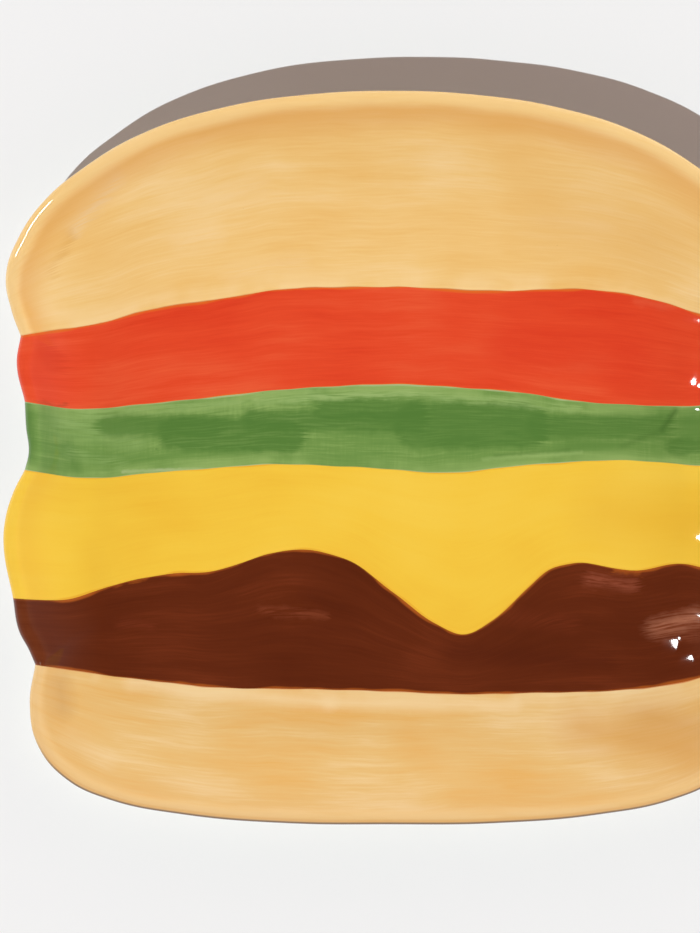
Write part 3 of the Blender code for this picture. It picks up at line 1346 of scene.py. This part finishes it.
@dataclass
class PaintedLayer:
    """One painted layer of the burger: a glaze coat from the well over the lip."""

    name: str
    upper: Border | Arch
    lower: Border | Arch
    glaze: PaintedGlaze
    depth: float = 0.5 * MM

    def build(self, painted: bpy.types.Object) -> bpy.types.Object:
        """Cuts the layer out of the painted surface and dresses it.

        Args:
            painted: The whole painted surface.

        Returns:
            The finished piece.
        """
        piece = painted.copy()
        piece.data = painted.data.copy()
        piece.name = piece.data.name = self.name
        bpy.context.scene.collection.objects.link(piece)
        if self.upper.cuts:
            cut_along(piece, self.upper, keep_above=False)
        if self.lower.cuts:
            cut_along(piece, self.lower, keep_above=True)
        self.measure(piece.data)
        lay_flat(piece, thicken(piece, self.depth))
        piece.data.materials.clear()
        piece.data.materials.append(self.glaze.material())
        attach(piece, "root")
        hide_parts("plate")
        return piece

    def measure(self, mesh: bpy.types.Mesh) -> None:
        """Keeps where each vertex lies along and across the brush strokes, and from the edges."""
        places = places_of(mesh)
        across, up = places[:, 0], places[:, 1]
        high, low = self.upper.level(across), self.lower.level(across)
        share = (up - low) / np.maximum(high - low, 5 * MM)
        mean_height = float(np.mean(high - low))
        brush = np.column_stack((across, share * mean_height, np.zeros(len(across))))
        note(mesh, "brush", brush / MM)
        far = np.full(len(across), 100 * MM)
        from_upper, from_lower = far, far
        if self.upper.cuts:
            from_upper = (high - up) / np.hypot(1, self.upper.steepness(across))
        if self.lower.cuts:
            from_lower = (up - low) / np.hypot(1, self.lower.steepness(across))
        edges = np.column_stack((noted(mesh, "inset") * MM, from_upper, from_lower))
        note(mesh, "edges", edges / MM)


@dataclass
class PlainCoat:
    """The unpainted glaze on a stretch of the underside."""

    name: str
    coat: Coat
    finish: PlainFinish = PLAIN_GLAZE
    depth: float = 0.5 * MM

    def build(self, form: PlateForm, whole: bpy.types.Object) -> bpy.types.Object:
        """Takes the stretch from the whole surface and dresses it.

        Args:
            form: The plate's form.
            whole: Its whole surface.

        Returns:
            The finished piece.
        """
        piece = sheet(whole, self.name, form.rings_of(self.coat))
        thicken(piece, self.depth)
        piece.data.materials.clear()
        piece.data.materials.append(self.finish.material())
        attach(piece, "root")
        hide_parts("plate")
        return piece


@dataclass
class ClayBody:
    """The fired clay under the glazes, bare at the foot ring."""

    name: str = "clay_body"
    finish: PlainFinish = BARE_CLAY
    glaze_depth: float = 0.35 * MM
    foot_clear: float = 1.0 * MM

    def build(self, whole: bpy.types.Object) -> bpy.types.Object:
        """Sinks a copy of the whole surface by the glaze's depth and dresses it.

        Args:
            whole: The whole surface.

        Returns:
            The finished piece.
        """
        piece = whole.copy()
        piece.data = whole.data.copy()
        piece.name = piece.data.name = self.name
        bpy.context.scene.collection.objects.link(piece)
        places = places_of(piece.data)
        sunk = np.clip(places[:, 2:] / self.foot_clear, 0, 1) * self.glaze_depth
        put_places(piece.data, places - unit(noted(piece.data, "round_normal")) * sunk)
        work_on(piece)
        bpy.ops.object.shade_smooth_by_angle(angle=math.radians(50))
        piece.data.materials.clear()
        piece.data.materials.append(self.finish.material())
        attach(piece, "root")
        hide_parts("plate")
        return piece


def heading(azimuth: float, elevation: float) -> Vector:
    """The direction towards a lamp, from its azimuth and elevation in degrees."""
    turn, rise = math.radians(azimuth), math.radians(elevation)
    level = math.cos(rise)
    return Vector((level * math.cos(turn), level * math.sin(turn), math.sin(rise)))


def light_only(lamp: bpy.types.Object, lit: tuple[str, ...]) -> None:
    """Lets a lamp light the named pieces and nothing else."""
    group = bpy.data.collections.new(f"lit_by_{lamp.name}")
    for name in lit:
        group.objects.link(bpy.data.objects[name])
    lamp.light_linking.receiver_collection = group


FLOOR = ("floor",)
TOP_BUN = ("top_bun",)
MIDDLE = ("tomato", "lettuce", "cheese")
PATTY = ("patty",)
PAINTED = (*TOP_BUN, *MIDDLE, *PATTY, "bottom_bun")
PLATE = (*PAINTED, "clay_body", "wall_glaze", "base_glaze")


@dataclass(frozen=True)
class Lamp:
    """A lamp far off that lights its pieces evenly and is not mirrored in them."""

    name: str
    azimuth: float
    elevation: float
    strength: float
    width: float
    colour: tuple[float, float, float]
    lit: tuple[str, ...]

    def build(self) -> None:
        """Adds the lamp."""
        toward = heading(self.azimuth, self.elevation)
        bpy.ops.object.light_add(type="SUN", location=toward)
        lamp = bpy.context.object
        lamp.name = self.name
        lamp.rotation_euler = toward.to_track_quat("Z", "Y").to_euler()
        lamp.data.energy = self.strength
        lamp.data.angle = math.radians(self.width)
        lamp.data.color = self.colour
        lamp.visible_glossy = False
        light_only(lamp, self.lit)


@dataclass(frozen=True)
class Glint:
    """A small bright lamp that only shows mirrored in the glaze, round the place it aims at."""

    name: str
    azimuth: float
    elevation: float
    aim: Point
    cone: float
    width: float
    lit: tuple[str, ...]
    brightness: float = 60.0
    distance: float = 0.6

    def build(self) -> None:
        """Adds the lamp."""
        toward = heading(self.azimuth, self.elevation)
        aim = Vector((self.aim[0] * MM, self.aim[1] * MM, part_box("plate")[1].z))
        bpy.ops.object.light_add(type="SPOT", location=aim + toward * self.distance)
        lamp = bpy.context.object
        lamp.name = self.name
        lamp.rotation_euler = toward.to_track_quat("Z", "Y").to_euler()
        radius = self.distance * math.tan(math.radians(self.width) / 2)
        lamp.data.shadow_soft_size = radius
        lamp.data.energy = self.brightness * (math.tau * radius) ** 2
        lamp.data.spot_size = 2 * math.radians(self.cone)
        lamp.data.spot_blend = 0.3
        lamp.visible_diffuse = False
        light_only(lamp, self.lit)


@dataclass(frozen=True)
class Drop:
    """A row of small lamps close by that shows mirrored as one short drop in the glaze."""

    name: str
    piece: str
    start: Point
    end: Point
    widths: Point
    count: int
    distance: float = 20 * MM
    brightness: float = 60.0
    cone: float = 8.0

    def build(self) -> None:
        """Adds each lamp where the glaze at its place mirrors it straight up."""
        piece = bpy.data.objects[self.piece]
        for i in range(self.count):
            share = i / (self.count - 1)
            across, up = (a + (b - a) * share for a, b in zip(self.start, self.end))
            above = Vector((across * MM, up * MM, 1.0))
            found, place, normal, _ = piece.ray_cast(above, Vector((0.0, 0.0, -1.0)))
            if not found:
                LOG.warning("%s: no glaze under lamp %d", self.name, i + 1)
                continue
            toward = 2 * normal.z * normal - Vector((0.0, 0.0, 1.0))
            bpy.ops.object.light_add(type="SPOT", location=place + toward * self.distance)
            lamp = bpy.context.object
            lamp.name = f"{self.name}_{i + 1}"
            lamp.rotation_euler = toward.to_track_quat("Z", "Y").to_euler()
            radius = (self.widths[0] + (self.widths[1] - self.widths[0]) * share) / 2 * MM
            lamp.data.shadow_soft_size = radius
            lamp.data.energy = self.brightness * (math.tau * radius) ** 2
            lamp.data.spot_size = 2 * math.radians(self.cone)
            lamp.data.spot_blend = 0.3
            lamp.visible_diffuse = False
            light_only(lamp, (self.piece,))


@dataclass(frozen=True)
class Studio:
    """The pale floor, the light and the camera."""

    floor_size: float = 8.0
    floor_gap: float = 0.05 * MM
    floor_colour: Colour = paint(240, 240, 240)
    floor_bounce: float = 0.65
    lens: float = 200.0
    sensor: float = 36.0
    frame_size: tuple[int, int] = (700, 933)
    pixel: float = 250.0 / 776.0 * MM
    plate_middle: Point = (391.0, 457.5)
    mirrored_sky: float = 0.35
    lamps: tuple[Lamp, ...] = (
        Lamp("floor_lamp", 231.0, 48.8, 3.12, 0.6, (0.867, 0.965, 1.0), FLOOR),
        Lamp("top_lamp", 152.0, 80.0, 1.62, 50.0, (0.965, 0.995, 1.0), PLATE),
        Lamp("left_lamp", 200.0, 14.0, 0.46, 35.0, (0.83, 0.935, 1.0), PAINTED),
        Lamp("back_lamp", 110.0, 14.0, 0.60, 35.0, (0.83, 0.935, 1.0), PAINTED),
        Lamp("right_lamp", 14.0, 14.0, 1.15, 35.0, (0.83, 0.935, 1.0), PAINTED),
        Lamp("front_lamp", 290.0, 14.0, 0.46, 35.0, (0.83, 0.935, 1.0), PAINTED),
    )
    glints: tuple[Glint, ...] = (
        Glint("bun_lip_low_glint", 152.0, 48.0, (-115.6, 75.5), 16.0, 11.0, TOP_BUN),
        Glint("bun_lip_high_glint", 138.0, 48.0, (-115.6, 75.5), 16.0, 10.0, TOP_BUN),
        Glint("patty_lip_glint", 176.0, 56.0, (-118.0, -58.0), 10.0, 3.0, PATTY, 25.0),
    )
    drops: tuple[Drop, ...] = (
        Drop("bun_drop", "top_bun", (97.7, 52.4), (101.0, 60.0), (1.6, 1.9), 6),
        Drop("tomato_high_drop", "tomato", (96.6, 45.6), (98.1, 44.8), (0.9, 0.9), 3),
        Drop("tomato_low_drop", "tomato", (97.9, 25.2), (98.9, 25.0), (1.3, 1.3), 2),
        Drop("lettuce_drop", "lettuce", (98.6, 15.8), (99.6, 15.7), (0.9, 0.9), 2),
        Drop("cheese_drop", "cheese", (98.8, -26.2), (100.6, -23.6), (1.0, 1.6), 3),
        Drop("patty_drop", "patty", (90.0, -61.0), (91.4, -59.1), (1.5, 0.8), 4),
        Drop("patty_low_drop", "patty", (95.3, -67.0), (96.1, -66.5), (1.4, 1.1), 2),
        Drop("patty_high_drop", "patty", (97.2, -52.2), (99.2, -50.9), (1.0, 1.6), 3),
    )

    def build(self) -> None:
        """Adds the floor, the light and the camera."""
        self.add_floor()
        self.add_sky()
        for lamp in (*self.lamps, *self.glints, *self.drops):
            lamp.build()
        self.add_camera()
        bpy.context.scene.view_settings.view_transform = "Standard"

    def add_floor(self) -> None:
        """Lays the pale floor just under the foot ring."""
        bpy.ops.object.select_all(action="DESELECT")
        bpy.ops.mesh.primitive_plane_add(size=self.floor_size, location=(0, 0, -self.floor_gap))
        floor = bpy.context.object
        floor.name = "floor"
        tree = GlazeTree("floor_paper")
        bounced = tree.step("ShaderNodeLightPath", {}).outputs["Is Diffuse Ray"]
        dim = tree.math("MULTIPLY_ADD", bounced, self.floor_bounce - 1.0, 1.0)
        colour = tree.mix(dim, (0.0, 0.0, 0.0, 1.0), self.floor_colour)
        tree.feed(tree.shader.inputs["Base Color"], colour)
        tree.shader.inputs["Roughness"].default_value = 0.95
        tree.shader.inputs["Specular IOR Level"].default_value = 0.0
        floor.data.materials.append(tree.material)

    def add_sky(self) -> None:
        """Fills the shadows from the sides, and leaves the air straight above dim."""
        world = bpy.data.worlds.new("studio")
        world.use_nodes = True
        bpy.context.scene.world = world
        nodes, links = world.node_tree.nodes, world.node_tree.links
        direction = nodes.new("ShaderNodeTexCoord").outputs["Generated"]
        parts = nodes.new("ShaderNodeSeparateXYZ")
        links.new(direction, parts.inputs[0])
        ramp = nodes.new("ShaderNodeValToRGB")
        ramp.color_ramp.elements[0].position = 0.0
        ramp.color_ramp.elements[0].color = (0.95, 0.88, 0.87, 1.0)
        ramp.color_ramp.elements[1].position = 0.95
        ramp.color_ramp.elements[1].color = (0.05, 0.045, 0.04, 1.0)
        middle = ramp.color_ramp.elements.new(0.5)
        middle.color = (0.62, 0.455, 0.40, 1.0)
        links.new(parts.outputs["Z"], ramp.inputs[0])
        links.new(ramp.outputs[0], nodes["Background"].inputs["Color"])
        ray = nodes.new("ShaderNodeLightPath").outputs["Is Glossy Ray"]
        level = nodes.new("ShaderNodeMapRange")
        links.new(ray, level.inputs["Value"])
        level.inputs["To Min"].default_value = 1.0
        level.inputs["To Max"].default_value = self.mirrored_sky
        links.new(level.outputs[0], nodes["Background"].inputs["Strength"])

    def add_camera(self) -> None:
        """Looks straight down, with the plate's right side past the edge of the picture."""
        width, height = self.frame_size
        across = (width / 2 - self.plate_middle[0]) * self.pixel
        up = (self.plate_middle[1] - height / 2) * self.pixel
        distance = height * self.pixel * self.lens / self.sensor
        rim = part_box("plate")[1].z
        bpy.ops.object.camera_add(location=(across, up, rim + distance), rotation=(0, 0, 0))
        camera = bpy.context.object
        camera.name = "camera"
        camera.data.lens = self.lens
        camera.data.sensor_width = self.sensor
        camera.data.clip_end = 100.0
        bpy.context.scene.camera = camera


LAYERS = (
    PaintedLayer("top_bun", BUN_CROWN, BUN_TOMATO, TOP_BUN_GLAZE),
    PaintedLayer("tomato", BUN_TOMATO, TOMATO_LETTUCE, TOMATO_GLAZE),
    PaintedLayer("lettuce", TOMATO_LETTUCE, LETTUCE_CHEESE, LETTUCE_GLAZE),
    PaintedLayer("cheese", LETTUCE_CHEESE, CHEESE_PATTY, CHEESE_GLAZE),
    PaintedLayer("patty", CHEESE_PATTY, PATTY_BUN, PATTY_GLAZE),
    PaintedLayer("bottom_bun", PATTY_BUN, BUN_BASE, BOTTOM_BUN_GLAZE),
)


def report(piece: bpy.types.Object) -> None:
    """Logs a finished piece and its number of faces."""
    LOG.info("%s: %d faces", piece.name, len(piece.data.polygons))


def main() -> None:
    """Builds every piece in order, then the studio."""
    form = PlateForm()
    whole = form.build()
    report(ClayBody().build(whole))
    painted = sheet(whole, "painted_surface", form.rings_of(Coat.PAINTED))
    for layer in LAYERS:
        report(layer.build(painted))
    for coat in (PlainCoat("wall_glaze", Coat.WALL), PlainCoat("base_glaze", Coat.BASE)):
        report(coat.build(form, whole))
    for spare in (painted, whole):
        bpy.data.objects.remove(spare, do_unlink=True)
    Studio().build()
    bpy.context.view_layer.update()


if __name__ == "__main__":
    logging.basicConfig(level=logging.INFO, format="%(message)s")
    main()
